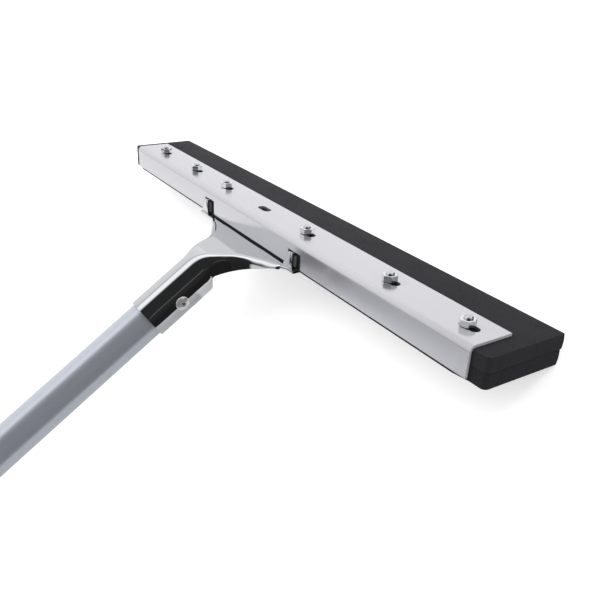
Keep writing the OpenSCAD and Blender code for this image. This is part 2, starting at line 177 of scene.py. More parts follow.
# %% [markdown]
# ## Studio
# The photograph is a cut-out on white, so the eye meets a white world and a white floor. Metal is
# another matter. It has hardly a colour of its own and shows what stands round it: here a light
# left side, a dark right side with a hard edge, bands near the floor, and something pale ahead
# of the blade. Real walls would do that, but they would take the soft light from the foam too.
# The world has a second set of tones instead, which only glossy rays meet.

# %% Tones that metal mirrors
# From the left (0) to the right (1): high up, and near the floor
OVERHEAD = [(0.0, 0.98), (0.17, 0.96), (0.20, 0.70), (0.23, 0.68), (0.29, 1.38), (0.44, 1.38), (0.53, 0.03),
            (0.93, 0.03), (0.945, 0.16), (0.96, 0.03)]
LOW_DOWN = [(0.0, 1.0), (0.51, 1.0), (0.56, 0.03)]
# Between these heights of a ray the lower tones turn into the upper ones
HEIGHTS = (0.20, 0.45)
# A pale skirting all round, and a dark one behind the handle's end, against the height of the ray
PALE_SKIRTING = [(0.0, 1.0), (0.03, 1.0), (0.06, 0.84), (0.13, 0.84), (0.20, 1.0)]
DARK_SKIRTING = [(0.0, 1.15), (0.08, 1.15), (0.11, 0.05), (0.24, 0.05), (0.28, 1.0)]
# Where the dark one fades out, across the room and along it
DARK_ACROSS, DARK_ALONG = (-0.12, -0.04), (-0.70, -0.55)
# How strong the tones are, from the handle's end to the blade's, and where that changes
STRENGTH, STRENGTH_ALONG = (0.84, 1.02), (-0.75, 0.6)
# The dark side ends where the blade does; ahead of the blade is a pale wall
PALE_WALL, WALL_ALONG = 0.62, (0.34, 0.50)
# What lights everything that is dull, and the white that the eye sees
EVEN_LIGHT, WHITE = 0.62, 1.0
print("tones across the room:", len(OVERHEAD), "high up,", len(LOW_DOWN), "near the floor")


# %% World
def backdrop(tree, strength):
    """White light of one strength from all round."""
    return add(tree, "ShaderNodeBackground", {"Color": (1, 1, 1, 1), "Strength": strength}).outputs[0]


world = bpy.data.worlds.new("studio")
scene.world = world
tree = empty_tree(world)
rays, to_eye = ray_kinds(tree)
direction = add(tree, "ShaderNodeTexCoord").outputs["Generated"]
toward = add(tree, "ShaderNodeSeparateXYZ", {"Vector": direction}).outputs
across = remap(tree, toward["X"], 0.0, 1.0, -1.0, 1.0)
height = remap(tree, toward["Z"], 0.0, 1.0, *HEIGHTS)
walls = blend_tones(tree, height, grey_ramp(tree, across, LOW_DOWN), grey_ramp(tree, across, OVERHEAD))
left_part = remap(tree, toward["X"], 1.0, 0.0, *DARK_ACROSS)
behind = remap(tree, toward["Y"], left_part, 0.0, *DARK_ALONG)
skirting = blend_tones(tree, behind, grey_ramp(tree, toward["Z"], PALE_SKIRTING),
                       grey_ramp(tree, toward["Z"], DARK_SKIRTING))
walls = maths(tree, "MULTIPLY", skirting, walls)
walls = maths(tree, "MAXIMUM", walls, remap(tree, toward["Y"], 0.0, PALE_WALL, *WALL_ALONG))
along = remap(tree, toward["Y"], *STRENGTH, *STRENGTH_ALONG)
mirrored = maths(tree, "MULTIPLY", along, walls)
lit = add(tree, "ShaderNodeMixShader", {0: rays["Is Glossy Ray"], 1: backdrop(tree, EVEN_LIGHT),
                                        2: backdrop(tree, mirrored)})
shown = add(tree, "ShaderNodeMixShader", {0: to_eye, 1: lit.outputs[0], 2: backdrop(tree, WHITE)})
add(tree, "ShaderNodeOutputWorld", {"Surface": shown.outputs[0]})
print("world:", len(tree.nodes), "nodes")

# %% [markdown]
# The floor is one wide pale sheet that catches the tool's soft shadow. Painted white and lit, it
# is still grey beside a white page. More light would bleach the tool, so the floor gives off a
# little itself: much of it to the eye, less to metal, none to anything dull.

# %% Floor
STUDIO_HALF = 12
FLOOR_TONE, GLOW_TO_EYE, GLOW_TO_METAL = 0.88, 0.55, 0.2


def put_in_scene(shape, name, material):
    """Turns a bmesh into an object of one material and links it to the scene."""
    mesh = bpy.data.meshes.new(name)
    shape.to_mesh(mesh)
    shape.free()
    mesh.materials.append(material)
    piece = bpy.data.objects.new(name, mesh)
    scene.collection.objects.link(piece)
    return piece


floor_material = bpy.data.materials.new("white_floor")
tree = empty_tree(floor_material)
rays, to_eye = ray_kinds(tree)
floor_paint = add(tree, "ShaderNodeBsdfDiffuse", {"Color": (FLOOR_TONE, FLOOR_TONE, FLOOR_TONE, 1)})
lift = maths(tree, "MAXIMUM", maths(tree, "MULTIPLY", to_eye, GLOW_TO_EYE),
             maths(tree, "MULTIPLY", rays["Is Glossy Ray"], GLOW_TO_METAL))
glow = add(tree, "ShaderNodeEmission", {"Strength": lift})
both = add(tree, "ShaderNodeAddShader", {0: floor_paint.outputs[0], 1: glow.outputs[0]})
add(tree, "ShaderNodeOutputMaterial", {"Surface": both.outputs[0]})
floor_shape = bmesh.new()
bmesh.ops.create_grid(floor_shape, x_segments=1, y_segments=1, size=STUDIO_HALF)
floor = put_in_scene(floor_shape, "floor", floor_material)
print("floor:", 2 * STUDIO_HALF, "m wide")

# %% [markdown]
# Two large lamps, one on the left and one beyond the blade, round the forms and throw the shadow
# towards the viewer. The larger a lamp, the softer its shadow. Metal would show each of them as a
# white square, so glossy rays pass them by.

# %% Lamps
HEAD = (0, 0.66, 0.04)
LAMP_SIZE = 1.4
LAMPS = {"key_left": ((-1.5, 0.2, 1.5), 14), "top_far": ((0.2, 2.2, 1.6), 10)}


def soft_lamp(name, place, power):
    """A square area lamp that looks at the head."""
    data = bpy.data.lights.new(name, "AREA")
    data.shape = "SQUARE"
    data.size = LAMP_SIZE
    data.energy = power
    lamp = bpy.data.objects.new(name, data)
    lamp.location = place
    lamp.rotation_mode = "QUATERNION"
    lamp.rotation_quaternion = (Vector(HEAD) - Vector(place)).to_track_quat("-Z", "Y")
    lamp.visible_glossy = False
    scene.collection.objects.link(lamp)


for name, (place, power) in LAMPS.items():
    soft_lamp(name, place, power)
    print(name, "of", power, "W at", place)

# %% [markdown]
# Photographers lay cards beside polished metal, to give it a dark line or a pale one. Two lie
# flat here and are seen by reflections alone: a black one to the right, whose edge runs along
# the chrome, and a light grey one under the handle.

# %% Cards
CARD_Z, CARD_EDGE = 0.003, 0.055
BLACK, BLACK_END = 0.02, 3.0
LIGHT_GREY, GREY_LEFT, GREY_START, GREY_END = 0.85, -0.05, -0.8, 0.61


def card(name, tone, x0, x1, y0, y1):
    """A sheet of one grey tone that lies on the floor and that only reflections see."""
    paper = bpy.data.materials.new(name)
    tree = empty_tree(paper)
    dull = add(tree, "ShaderNodeBsdfDiffuse", {"Color": (tone, tone, tone, 1)})
    add(tree, "ShaderNodeOutputMaterial", {"Surface": dull.outputs[0]})
    shape = bmesh.new()
    corners = ((x0, y0), (x1, y0), (x1, y1), (x0, y1))
    shape.faces.new([shape.verts.new((x, y, CARD_Z)) for x, y in corners])
    piece = put_in_scene(shape, name, paper)
    piece.visible_camera = False
    piece.visible_diffuse = False
    piece.visible_shadow = False
    piece.visible_transmission = False
    print(name, "of tone", tone)


card("black_card_right", BLACK, CARD_EDGE, STUDIO_HALF, -STUDIO_HALF, BLACK_END)
card("grey_card_under", LIGHT_GREY, GREY_LEFT, CARD_EDGE, GREY_START, GREY_END)

# %% [markdown]
# ## Shared surface patterns
# Three patterns come back in several finishes, so each is a node group with named inputs. A
# group gives only masks and heights. What it does to colour, gloss and relief is decided in
# each material.


# %% Pattern groups
def new_group(name, inputs, outputs):
    """An empty shader group with float inputs (name, default) and float outputs."""
    group = bpy.data.node_groups.new(name, "ShaderNodeTree")
    for label, default in inputs:
        socket = group.interface.new_socket(name=label, in_out="INPUT", socket_type="NodeSocketFloat")
        socket.default_value = default
    for label in outputs:
        group.interface.new_socket(name=label, in_out="OUTPUT", socket_type="NodeSocketFloat")
    return group, group.nodes.new("NodeGroupInput"), group.nodes.new("NodeGroupOutput")


def streaks_group():
    """Fine lines along x, as rolling leaves on sheet metal, and slow clouds over them."""
    group, given, result = new_group("rolled_streaks", [("Fineness", 900.0), ("Cloud Size", 18.0)],
                                     ["Lines", "Clouds"])
    place = add(group, "ShaderNodeTexCoord").outputs["Object"]
    drawn = add(group, "ShaderNodeMapping", {"Vector": place, "Scale": (0.02, 1.0, 1.0)})
    lines = add(group, "ShaderNodeTexNoise", {"Vector": drawn.outputs[0], "Scale": given.outputs["Fineness"],
                                              "Detail": 3.0, "Roughness": 0.6})
    clouds = add(group, "ShaderNodeTexNoise", {"Vector": place, "Scale": given.outputs["Cloud Size"],
                                               "Detail": 4.0, "Roughness": 0.55})
    group.links.new(lines.outputs[0], result.inputs["Lines"])
    group.links.new(clouds.outputs[0], result.inputs["Clouds"])
    return group


def wear_group():
    """Corners where handling has rubbed the surface: 1 on sharp outer edges, broken up by noise."""
    group, given, result = new_group("rubbed_edges", [("Low", 0.52), ("High", 0.62), ("Speckle", 400.0)],
                                     ["Mask"])
    gain = 1.8
    bend = add(group, "ShaderNodeNewGeometry").outputs["Pointiness"]
    edge = remap(group, bend, 0.0, 1.0, given.outputs["Low"], given.outputs["High"])
    place = add(group, "ShaderNodeTexCoord").outputs["Object"]
    speck = add(group, "ShaderNodeTexNoise", {"Vector": place, "Scale": given.outputs["Speckle"],
                                              "Detail": 2.0})
    broken = maths(group, "MULTIPLY", edge, speck.outputs[0])
    strong = maths(group, "MULTIPLY", broken, gain, use_clamp=True)
    group.links.new(strong, result.inputs["Mask"])
    return group


def cells_group():
    """Cut cells of foam rubber: small round pits of two sizes, and a mask of where they are."""
    group, given, result = new_group("foam_cells", [("Cell Scale", 900.0), ("Skin", 0.35)],
                                     ["Height", "Pits"])
    finer, small_depth, open_cells = 2.3, 0.6, 0.7
    place = add(group, "ShaderNodeTexCoord").outputs["Object"]
    big = add(group, "ShaderNodeTexVoronoi", {"Vector": place, "Scale": given.outputs["Cell Scale"]})
    small_scale = maths(group, "MULTIPLY", given.outputs["Cell Scale"], finer)
    small = add(group, "ShaderNodeTexVoronoi", {"Vector": place, "Scale": small_scale})
    big_pit = remap(group, big.outputs["Distance"], 1.0, 0.0, 0.12, 0.42)
    small_pit = remap(group, small.outputs["Distance"], small_depth, 0.0, 0.1, 0.4)
    pits = maths(group, "MAXIMUM", big_pit, small_pit)
    patch = add(group, "ShaderNodeTexNoise", {"Vector": place, "Scale": 60.0, "Detail": 3.0})
    opened = remap(group, patch.outputs[0], 0.0, 1.0, given.outputs["Skin"], open_cells)
    kept = maths(group, "MULTIPLY", pits, opened)
    group.links.new(maths(group, "SUBTRACT", 1.0, kept), result.inputs["Height"])
    group.links.new(kept, result.inputs["Pits"])
    return group


STREAKS, WEAR, CELLS = streaks_group(), wear_group(), cells_group()
print("pattern groups:", STREAKS.name, WEAR.name, CELLS.name)


# %% Patterns in a material
MICRON = 0.000001


def use_group(tree, group, **values):
    """Places a pattern group in a material with its own values and gives its outputs."""
    spot = tree.nodes.new("ShaderNodeGroup")
    spot.node_tree = group
    for label, value in values.items():
        spot.inputs[label.replace("_", " ")].default_value = value
    return spot.outputs


def relief(tree, shader, height, microns):
    """Feeds a height to the shader's normal through a bump node, so many microns deep."""
    bump = add(tree, "ShaderNodeBump", {"Height": height, "Distance": microns * MICRON})
    tree.links.new(bump.outputs[0], shader.inputs["Normal"])


print("a relief of 1 is", MICRON, "m deep")

# %% [markdown]
# ## Metal finishes
# The cover is rolled sheet with zinc on it: satin, a little cloudy, with faint lines along its
# length. Bright zinc that has dulled mirrors only in part, so its Metallic stays below 1. Where
# the sheet was sheared off, the bare edge is duller still. The yoke was polished before it was
# chromed, so it mirrors nearly sharply. Nuts and bolts are zinc on machined steel, rubbed at
# their corners. All of them differ in a few numbers only, so one function makes them.

# %% Metals
CLOUD_SPREAD, GLOSS_SPREAD = (0.35, 0.65), (0.3, 0.7)
RUBBED_STEEL = (0.93, 0.93, 0.94)


def sheet_metal(name, dark, light, gloss, lines=900.0, clouds=18.0, line_microns=4, rubbed=False,
                metallic=1.0):
    """Plated metal: clouds move its tone and its gloss between two limits, lines give relief."""
    material, tree, shader = blank_material(name, Metallic=metallic)
    pattern = use_group(tree, STREAKS, Fineness=lines, Cloud_Size=clouds)
    tone = blend_colours(tree, remap(tree, pattern["Clouds"], 0.0, 1.0, *CLOUD_SPREAD), dark, light)
    if rubbed:
        tone = blend_colours(tree, use_group(tree, WEAR)["Mask"], tone, RUBBED_STEEL)
    tree.links.new(tone, shader.inputs["Base Color"])
    tree.links.new(remap(tree, pattern["Clouds"], *gloss, *GLOSS_SPREAD), shader.inputs["Roughness"])
    relief(tree, shader, pattern["Lines"], line_microns)
    print(name, "shines at roughness", gloss)
    return material


ZINC = sheet_metal("zinc_on_sheet", (0.70, 0.70, 0.735), (0.72, 0.72, 0.755), (0.16, 0.20), line_microns=2,
                   metallic=0.72)
STRIP = sheet_metal("zinc_on_strip", (0.62, 0.62, 0.64), (0.70, 0.70, 0.72), (0.30, 0.40))
CHROME = sheet_metal("chrome_on_yoke", (0.65, 0.66, 0.685), (0.68, 0.69, 0.715), (0.03, 0.06),
                     lines=500.0, line_microns=0.5)
CUT_EDGE = sheet_metal("bare_cut_edge", (0.74, 0.74, 0.76), (0.80, 0.80, 0.82), (0.30, 0.40), metallic=0.15)
NUT_ZINC = sheet_metal("zinc_on_nut", (0.72, 0.73, 0.76), (0.82, 0.83, 0.86), (0.10, 0.16), clouds=300.0,
                       rubbed=True)
BOLT_ZINC = sheet_metal("zinc_on_bolt", (0.60, 0.60, 0.62), (0.70, 0.70, 0.72), (0.22, 0.34), clouds=300.0,
                        rubbed=True)
RIVET = sheet_metal("bright_rivet", (0.84, 0.84, 0.85), (0.90, 0.90, 0.91), (0.20, 0.24), clouds=60.0,
                    line_microns=1, metallic=0.65)
# painted shade: the mandrel is coloured near black to stand for the dark bore of the rivet
MANDREL_SHADE = sheet_metal("mandrel_painted_shade", (0.06, 0.06, 0.065), (0.10, 0.10, 0.11), (0.40, 0.55), clouds=300.0)

# %% [markdown]
# ## Paint, plastic and foam
# The handle has a blue-grey metallic paint. Sprayed paint of this kind is a coloured base with
# flakes of metal in it, under a clear coat with orange peel, so the base is only partly metallic,
# tiny cells change its tone and a coat lies over it.

# %% Handle paint
PAINT_DARK, PAINT_LIGHT = (0.56, 0.59, 0.66), (0.64, 0.67, 0.75)
PAINT, tree, shader = blank_material("blue_grey_paint", Metallic=0.6, Coat_Weight=0.4, Coat_Roughness=0.2)
place = add(tree, "ShaderNodeTexCoord").outputs["Object"]
flakes = add(tree, "ShaderNodeTexVoronoi", {"Vector": place, "Scale": 2600.0})
flake = remap(tree, flakes.outputs["Distance"], 0.0, 1.0, 0.1, 0.6)
tree.links.new(blend_colours(tree, flake, PAINT_DARK, PAINT_LIGHT), shader.inputs["Base Color"])
peel = add(tree, "ShaderNodeTexNoise", {"Vector": place, "Scale": 700.0, "Detail": 2.0})
tree.links.new(remap(tree, peel.outputs[0], 0.30, 0.36), shader.inputs["Roughness"])
relief(tree, shader, peel.outputs[0], 10)
print("handle paint:", len(tree.nodes), "nodes")

# %% [markdown]
# The cap is black moulded plastic with a fine grain, as caps of such tubes mostly are. One noise
# gives that grain to the colour, the gloss and the relief together.

# %% Cap plastic
PLASTIC_DARK, PLASTIC_LIGHT = (0.018, 0.018, 0.02), (0.032, 0.032, 0.035)
PLASTIC, tree, shader = blank_material("black_moulding")
place = add(tree, "ShaderNodeTexCoord").outputs["Object"]
grain = add(tree, "ShaderNodeTexNoise", {"Vector": place, "Scale": 1800.0, "Detail": 3.0}).outputs[0]
tree.links.new(blend_colours(tree, grain, PLASTIC_DARK, PLASTIC_LIGHT), shader.inputs["Base Color"])
tree.links.new(remap(tree, grain, 0.42, 0.58), shader.inputs["Roughness"])
relief(tree, shader, grain, 30)
print("cap plastic:", len(tree.nodes), "nodes")

# %% [markdown]
# The blade is cellular rubber. A knife opens its cells, so the cut faces are full of small pits
# that hold pale dust. It is matt: a plain black with the usual shine would look like hard plastic,
# so the specular level is low and a trace of sheen stands for the dust at grazing angles.

# %% Foam rubber
DUST = (0.058, 0.055, 0.067)
CELL_SCALE, PIT_MICRONS = 800.0, 200


def foam_rubber(name, dark, light):
    """Cellular rubber: a dull skin, pits where cells are cut and painted darker as shade, and pale dust
    caught on it.
    """
    material, tree, shader = blank_material(name, Sheen_Weight=0.05, Sheen_Roughness=0.6,
                                            Specular_IOR_Level=0.05)
    cells = use_group(tree, CELLS, Cell_Scale=CELL_SCALE)
    place = add(tree, "ShaderNodeTexCoord").outputs["Object"]
    lint = add(tree, "ShaderNodeTexNoise", {"Vector": place, "Scale": 1500.0, "Detail": 4.0,
                                            "Roughness": 0.7})
    dusty = remap(tree, lint.outputs[0], 0.0, 0.6, 0.58, 0.78)
    # painted shade: the colour goes to the dark tone in the cut pits and to the light one on the skin
    bare = blend_colours(tree, cells["Height"], dark, light)
    tree.links.new(blend_colours(tree, dusty, bare, DUST), shader.inputs["Base Color"])
    tree.links.new(remap(tree, cells["Pits"], 0.72, 0.95), shader.inputs["Roughness"])
    relief(tree, shader, cells["Height"], PIT_MICRONS)
    print(name, "rubber:", len(tree.nodes), "nodes")
    return material


FOAM_UPPER = foam_rubber("foam_upper", (0.010, 0.010, 0.012), (0.030, 0.030, 0.035))
FOAM_LOWER = foam_rubber("foam_lower", (0.009, 0.009, 0.011), (0.026, 0.026, 0.031))

# %% [markdown]
# ## Rigid pieces from the CAD
# Real sheet is never knife-sharp: a narrow round along each edge catches the light. A copy of
# the CAD mesh gets it. The copy is merged, flat areas lose the triangles' seams, and a small
# bevel runs round every sharp edge. The copy then replaces its node.

# %% Eased copies
SAME_POINT = 0.000001
SAME_PLANE, SHARP = math.radians(0.3), math.radians(30)
BROAD_FACE = 0.001


def finish_piece(shape, name, material, body, smooth_deg=35.0):
    """Turns a bmesh in metres into a smooth-shaded piece that rides on a body."""
    piece = put_in_scene(shape, name, material)
    stale = piece.data.attributes.get("custom_normal")
    if stale:
        piece.data.attributes.remove(stale)
    piece.data.shade_smooth()
    piece.data.set_sharp_from_angle(angle=math.radians(smooth_deg))
    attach(piece, body)
    return piece


def eased_copy(node, material, ease_mm, body="root", border_mm=0.0):
    """A copy of a CAD node with rounded edges, standing for the node.

    border_mm sets a loop of edges that far inside each broad face, so that it stays flat."""
    shape = bmesh.new()
    shape.from_mesh(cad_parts[node].data)
    bmesh.ops.remove_doubles(shape, verts=shape.verts, dist=SAME_POINT)
    bmesh.ops.dissolve_limit(shape, angle_limit=SAME_PLANE, verts=shape.verts, edges=shape.edges)
    sharp = [e for e in shape.edges if e.is_manifold and e.calc_face_angle(0) > SHARP]
    bmesh.ops.bevel(shape, geom=sharp, offset=ease_mm / 1000, offset_type="OFFSET", segments=2,
                    profile=0.5, material=-1, affect="EDGES", clamp_overlap=True, loop_slide=True)
    if border_mm:
        broad = [f for f in shape.faces if f.calc_area() / f.calc_perimeter() > BROAD_FACE]
        bmesh.ops.inset_region(shape, faces=broad, thickness=border_mm / 1000, depth=0.0, use_boundary=True,
                               use_even_offset=True)
    piece = finish_piece(shape, node + "_eased", material, body)
    weigh = piece.modifiers.new("even_shading", "WEIGHTED_NORMAL")
    weigh.keep_sharp = True
    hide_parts(node)
    print(node, "->", len(piece.data.polygons), "faces,", len(sharp), "sharp edges eased")
    return piece


cover = eased_copy("cover_plate", ZINC, 0.15, body="cover", border_mm=0.3)

# %% [markdown]
# The cover is cut off a long plated strip, so the two ends of the sheet are bare. Those faces
# look along x and lie near the ends. They get the second material, and the slots keep their zinc.

# %% Cut ends of the cover
ALONG_X, NEAR_END = 0.9, 0.2
cover.data.materials.append(CUT_EDGE)
cut_faces = [face for face in cover.data.polygons
             if abs(face.normal.x) > ALONG_X and abs(face.center.x) > NEAR_END]
for face in cut_faces:
    face.material_index = 1
print("cut edges on the cover:", len(cut_faces), "faces")

# %% [markdown]
# The base strip, the cap, the six bolts with their nuts and the rivet's mandrel need no more than
# the same easing. The smaller and harder the piece, the narrower its rounds.

# %% The other rigid pieces
eased_copy("base_strip", STRIP, 0.12, border_mm=0.3)
eased_copy("handle_cap", PLASTIC, 0.4)
for number in range(1, 7):
    eased_copy(f"nut_{number}", NUT_ZINC, 0.08)
    eased_copy(f"bolt_{number}", BOLT_ZINC, 0.1)
eased_copy("rivet_mandrel", MANDREL_SHADE, 0.03)

# %% [markdown]
# ## Yoke
# The yoke is pressed from one sheet: a tube round the handle, whose sides part along the
# underside, open into a channel and flare out to a flat bar under the blade. Lofting between a
# few outlines would smear its bend lines. Here a flat grid is laid over the press tool instead:
# each row of the grid is one cross section, and each vertex moves to its place on that section.
# Solidify then gives the sheet its thickness, and Bevel breaks its cut edges.

# %% Driving sizes, in millimetres on the level head
SHEET, GAP, EAR_GAP = 1.5, 0.2, 0.4
COVER_FRONT, COVER_DEPTH, COVER_WALL, LAYER = 13.6, 28.0, 17.5, 8.6
LOCK_X, LOCK_W, LOCK_TOP, LOCK_LEG = 59.7, 6.5, 7.5, 2.5
BOLT_D, BOLT_PLAY, MIDDLE_BOLT, BOLT_PITCH = 5.0, 0.2, -8.0, 55.5
HANDLE_D, HANDLE_WALL, HANDLE_LEN, HANDLE_IN = 25.4, 1.0, 1300.0, 40.0
SLOPE, HANDLE_DROP = math.radians(34.4), 8.2
SOCKET_FRONT, SOCKET_LEN, BEND_RUN = 50.0, 44.0, 5.6
FLARE_R, FLARE_TURN, FLARE_OUT = 32.0, math.radians(60), 52.0
FLANGE_DEEP, FLANGE_SHALLOW, FLANGE_R, FLANGE_STOP = 19.0, 2.5, 4.0, 5.0
CROSSBAR_OUT, CROSSBAR_END = 1.2, 8.0

# %% Places that follow, rounded as on a workshop drawing
WALL_Y, AXIS_Z = COVER_FRONT - COVER_DEPTH, -HANDLE_DROP
WING_Z = -(SHEET + GAP + 2 * LAYER)
TUBE_R = round(HANDLE_D / 2 + GAP + SHEET, 2)
SOCKET_BACK = SOCKET_FRONT + SOCKET_LEN
EAR_Y = WALL_Y - EAR_GAP - SHEET
CROSSBAR_Y = EAR_Y - CROSSBAR_OUT
TOP_MEETS = round((TUBE_R * math.cos(SLOPE) + AXIS_Z - WING_Z) / math.sin(SLOPE), 2)
CORNER_Y = round(WALL_Y - TOP_MEETS * math.cos(SLOPE) - TUBE_R * math.sin(SLOPE), 1)
SIDE_RUN = round((FLARE_OUT - TUBE_R - FLARE_R * (1 - math.cos(FLARE_TURN))) / math.sin(FLARE_TURN), 2)
FLARE_Y = round(CROSSBAR_Y - SIDE_RUN * math.cos(FLARE_TURN) - FLARE_R * math.sin(FLARE_TURN), 2)
BEND_R = BEND_RUN / math.tan(SLOPE / 2)
BEND_END_Y = CORNER_Y + BEND_RUN
BEND_TURN = math.asin((BEND_END_Y - FLARE_Y) / FLARE_R)
STRAIGHT = SOCKET_FRONT - TOP_MEETS - BEND_RUN
FLARE_RUN = FLARE_R * (FLARE_TURN - BEND_TURN)
BEND_LENGTH = BEND_R * SLOPE
RUN_LENGTH = STRAIGHT + BEND_LENGTH + FLARE_RUN + SIDE_RUN - FLANGE_STOP
print("bend radius", round(BEND_R, 2), "length of the opened part", round(RUN_LENGTH, 1))

# %% [markdown]
# Each row of the grid is a place along the sheet. It says where the sheet's middle line is, how
# far it is tilted there, how far its sides have turned outwards, and how far from the socket it
# lies. Rows stand closer together where the tube starts to part, because the shape changes fast.

# %% Rows of the grid
SOCKET_ROWS, CLOSED_UNTIL, LAST_CLOSED = 8, 52.0, [51.0, 50.2]
OPENING_ROWS, BEND_ROWS, FLARE_ROWS, SIDE_ROWS = 9, 10, 18, 6


def sheet_rows():
    """Rows from the socket's mouth to the end of the flanges: (y, z, tilt, turn, run, out).

    run is the way from the socket's front edge, out the way along the straight side."""
    closed = SOCKET_BACK - CLOSED_UNTIL
    in_socket = [SOCKET_BACK - closed * i / SOCKET_ROWS for i in range(SOCKET_ROWS + 1)] + LAST_CLOSED
    runs = [SOCKET_FRONT - s for s in in_socket]
    runs += [STRAIGHT * i / OPENING_ROWS for i in range(1, OPENING_ROWS)]
    made = []
    for run in runs:
        back = SOCKET_FRONT - run - TOP_MEETS
        made.append((CORNER_Y - back * math.cos(SLOPE), WING_Z - back * math.sin(SLOPE), SLOPE, 0.0,
                     run, 0.0))
    for i in range(BEND_ROWS + 1):
        tilt = SLOPE * (1 - i / BEND_ROWS)
        y = BEND_END_Y - BEND_R * math.sin(tilt)
        turn = math.asin((y - FLARE_Y) / FLARE_R) if y > FLARE_Y else 0.0
        made.append((y, WING_Z - BEND_R * (1 - math.cos(tilt)), tilt, turn,
                     STRAIGHT + BEND_LENGTH * i / BEND_ROWS, 0.0))
    for i in range(1, FLARE_ROWS + 1):
        turn = BEND_TURN + (FLARE_TURN - BEND_TURN) * i / FLARE_ROWS
        made.append((FLARE_Y + FLARE_R * math.sin(turn), WING_Z, 0.0, turn,
                     STRAIGHT + BEND_LENGTH + FLARE_RUN * i / FLARE_ROWS, 0.0))
    for i in range(1, SIDE_ROWS + 1):
        out = (SIDE_RUN - FLANGE_STOP) * i / SIDE_ROWS
        made.append((FLARE_Y + FLARE_R * math.sin(FLARE_TURN) + out * math.cos(FLARE_TURN), WING_Z, 0.0,
                     FLARE_TURN, STRAIGHT + BEND_LENGTH + FLARE_RUN + out, out))
    return made


ROWS = sheet_rows()
print("rows of the grid:", len(ROWS))

# %% [markdown]
# Across a row the sheet is a flat top, a round corner and a side that hangs down. In the socket
# the flat has no width and the sides wrap round to meet: the section is a circle. Further on the
# corner shrinks to the flange's, and the side unwraps until it hangs straight. All of it fades
# in and out along an S-curve, so no row shows a crease.

# %% One cross section
FLAT_COLS, BEND_COLS, SIDE_COLS = 8, 12, 8
HALF_COLS = FLAT_COLS + BEND_COLS + SIDE_COLS
# Where the socket's round has become the flange's, and how fast the flanges lose their depth
ROUND_GONE, FLANGE_FADE = STRAIGHT + BEND_LENGTH + FLARE_R * math.radians(12), 1.2
# The side always reaches at least this far below the corner
LEAST_SIDE = 0.3
# While the flat is narrower than this, its columns take up to this share of the corner's turn
FLAT_ENOUGH, CORNER_SHARE = 8, 0.3
# The seam starts to part this far inside the socket, where each side wraps round by this angle
PARTS_EARLY, CLOSED_END = 1.5, math.radians(89.3)
# The side starts to unwrap at this share of the straight run, and takes this many of its lengths
UNWRAP_START, UNWRAP_SPAN = 0.5, 2


def ease(u):
    """0 before 0, 1 after 1, and a smooth S between."""
    u = min(max(u, 0.0), 1.0)
    return u * u * (3 - 2 * u)


def section_sizes(turn, run, out):
    """Half width, flat, corner radius, side depth, the flat's share of the turn, wrap and end angle."""
    opened = max(run, 0)
    side = FLANGE_SHALLOW + (FLANGE_DEEP - FLANGE_SHALLOW) * max(0.0, 1 - opened / RUN_LENGTH) ** FLANGE_FADE
    corner = min(TUBE_R + (FLANGE_R - TUBE_R) * ease(opened / ROUND_GONE), side - LEAST_SIDE)
    half = TUBE_R + FLARE_R * (1 - math.cos(turn)) + out * math.sin(turn)
    flat = max(half - corner, 0.0)
    shared = CORNER_SHARE * (1 - ease(flat / FLAT_ENOUGH)) * math.pi / 2
    wrap = 1 - ease((opened / STRAIGHT - UNWRAP_START) / UNWRAP_SPAN)
    open_end = math.asin(min(1.0, (side - corner) / corner))
    end = CLOSED_END + (open_end - CLOSED_END) * ease((run + PARTS_EARLY) / (STRAIGHT + PARTS_EARLY))
    return half, flat, corner, side, shared, wrap, end


def on_section(row, column):
    """Where one column of one row lies on the sheet's outside; column counts out from the middle."""
    y, z, tilt, turn, run, out = row
    half, flat, corner, side, shared, wrap, end = section_sizes(turn, run, out)
    step = abs(column)
    travel = (flat + shared * corner) * step / FLAT_COLS
    if step <= FLAT_COLS:
        bend = max(0.0, travel - flat) / corner
    else:
        bend = shared + (math.pi / 2 - shared) * min(1.0, (step - FLAT_COLS) / BEND_COLS)
    inset, depth = corner - corner * math.sin(bend), corner - corner * math.cos(bend)
    if step > FLAT_COLS + BEND_COLS:
        share = (step - FLAT_COLS - BEND_COLS) / SIDE_COLS
        hanging = corner + (side - corner) * share
        inset = (corner - corner * math.cos(end * share)) * wrap
        depth = (corner + corner * math.sin(end * share)) * wrap + hanging * (1 - wrap)
    x = half - inset * math.cos(turn)
    if travel < flat:
        x = x * travel / flat
    ahead = inset * math.sin(turn)
    return Vector((x if column >= 0 else -x, y + ahead * math.cos(tilt) + depth * math.sin(tilt),
                   z + ahead * math.sin(tilt) - depth * math.cos(tilt)))


print("columns of the grid:", 2 * HALF_COLS + 1)

# %% Lay the grid over the tool
sheet = bmesh.new()
bmesh.ops.create_grid(sheet, x_segments=2 * HALF_COLS, y_segments=len(ROWS) - 1, size=1.0)
last_row = []
for v in sheet.verts:
    column = round(v.co.x * HALF_COLS)
    row = round((v.co.y + 1) / 2 * (len(ROWS) - 1))
    v.co = on_section(ROWS[row], column)
    if row == len(ROWS) - 1 and abs(column) <= FLAT_COLS:
        last_row.append(v)
last_row.sort(key=lambda v: v.co.x)
print("sheet:", len(sheet.faces), "faces, front row", round(last_row[-1].co.x, 1), "mm to the side")

# %% [markdown]
# The front of the sheet is flat: the end of the wing runs into the bar that the bolts hold. Its
# outline has holes, which a grid can't have. Edges are drawn round it and round each hole, and
# triangle_fill spans the flat between them, joined to the grid's front row.

# %% Outline of the flat front
EAR_W, EAR_IN_SLOT, BAR_ROUND = 10.0, 0.1, 0.96
